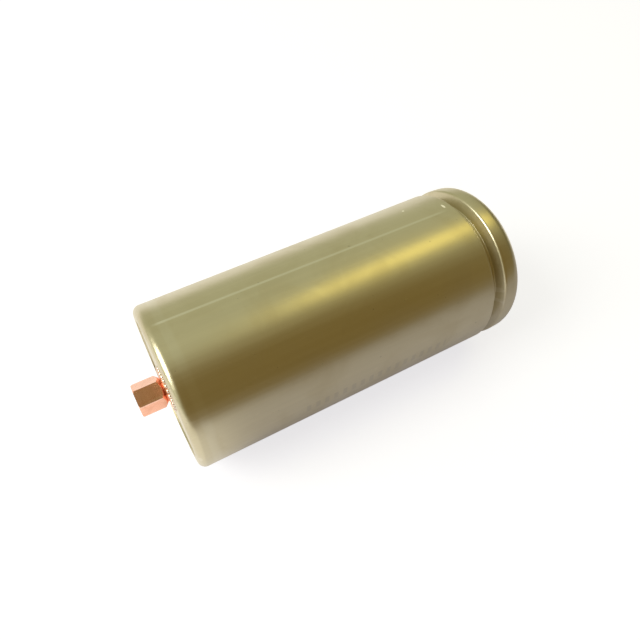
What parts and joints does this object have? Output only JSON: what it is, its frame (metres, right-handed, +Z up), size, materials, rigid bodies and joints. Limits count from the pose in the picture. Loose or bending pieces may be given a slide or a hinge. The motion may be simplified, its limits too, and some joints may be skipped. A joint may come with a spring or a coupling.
{
  "type": "cylindrical battery cell",
  "caption": "Bare cylindrical lithium iron phosphate cell with a rolled groove and crimped rim, and a welded hexagonal copper screw post on each end.",
  "frame": {"origin": "directly under the cell's mid-length, on the surface it lies on", "axes": "+X along the cell's axis from the negative post to the positive post, +Z up, +Y sideways"},
  "size_m": [0.0818, 0.0322, 0.0322],
  "materials": {
    "can_nickel_plate": "satin nickel plate with a warm champagne tone",
    "post_copper": "bare copper, lightly brushed",
    "weld_metal": "bright overlapping spot-weld beads",
    "cap_nickel_plate": "satin nickel plate",
    "gasket_plastic": "moulded polypropylene",
    "aluminium_sheet": "rolled sheet",
    "amber_tape": "polyimide film",
    "tab_nickel": "rolled nickel strip",
    "insulator_fibre": "pressed fibre board",
    "separator_film": "porous white film",
    "graphite_coating": "dark graphite coating on copper foil",
    "phosphate_coating": "dark phosphate coating on aluminium foil",
    "closing_tape": "polypropylene tape",
    "pin_steel": "rolled stainless strip"
  },
  "bodies": {
    "root": {"can": "can_nickel_plate", "negative_post": "post_copper", "negative_post_weld": "weld_metal", "positive_post": "post_copper", "positive_post_weld": "weld_metal", "top_cap": "cap_nickel_plate", "gasket": "gasket_plastic", "vent_disc": "aluminium_sheet", "vent_insulator_ring": "gasket_plastic", "weld_plate": "aluminium_sheet", "positive_tab": "aluminium_sheet", "positive_tab_tape": "amber_tape", "negative_tab": "tab_nickel", "top_insulator": "insulator_fibre", "bottom_insulator": "insulator_fibre", "inner_separator": "separator_film", "outer_separator": "separator_film", "negative_electrode": "graphite_coating", "positive_electrode": "phosphate_coating", "roll_tape": "closing_tape", "centre_pin": "pin_steel"}
  },
  "joints": []
}
